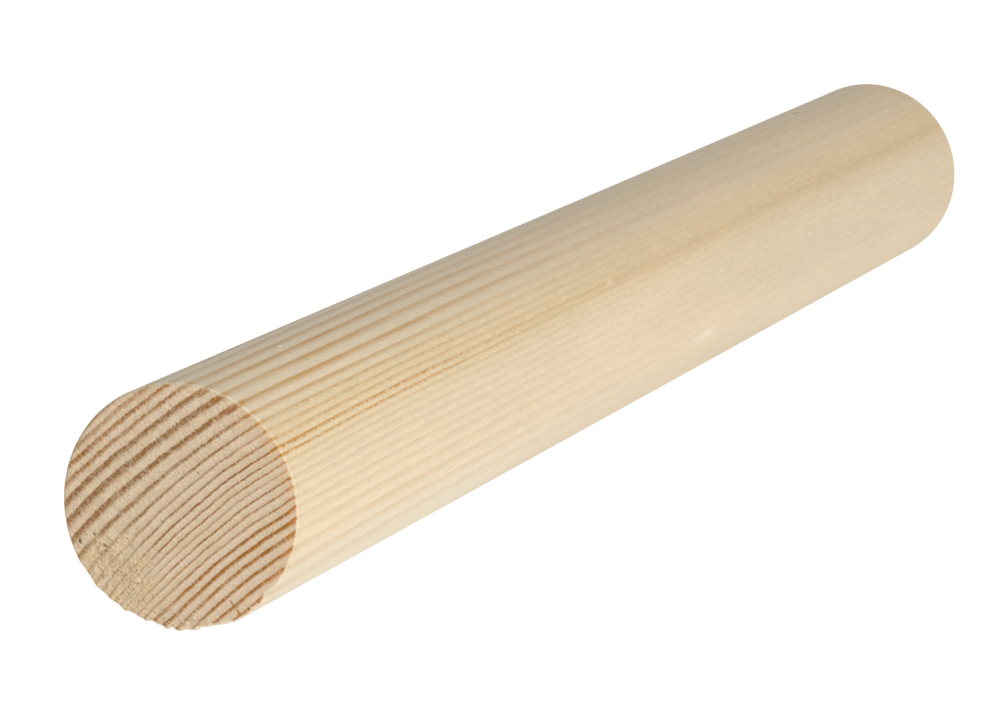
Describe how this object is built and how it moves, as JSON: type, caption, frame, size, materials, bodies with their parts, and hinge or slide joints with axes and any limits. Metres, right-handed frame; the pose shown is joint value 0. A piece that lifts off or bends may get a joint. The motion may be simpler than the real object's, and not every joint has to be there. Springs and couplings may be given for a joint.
{
  "type": "dowel rod",
  "caption": "Straight round softwood rod, sawn square at both ends, with growth-ring relief and a torn stretch of rim on its upper end.",
  "frame": {"origin": "middle of the foot, on the surface the rod stands on", "axes": "+Z along the rod from the foot to the sawn head; the pith of the tree lies towards -53.5 degrees from +X, and the torn rim faces -Y"},
  "size_m": [0.04, 0.04, 0.417],
  "materials": {
    "softwood": "planed and left bare, matt; sawn end grain on both ends"
  },
  "bodies": {
    "root": {"dowel": "softwood"}
  },
  "joints": []
}
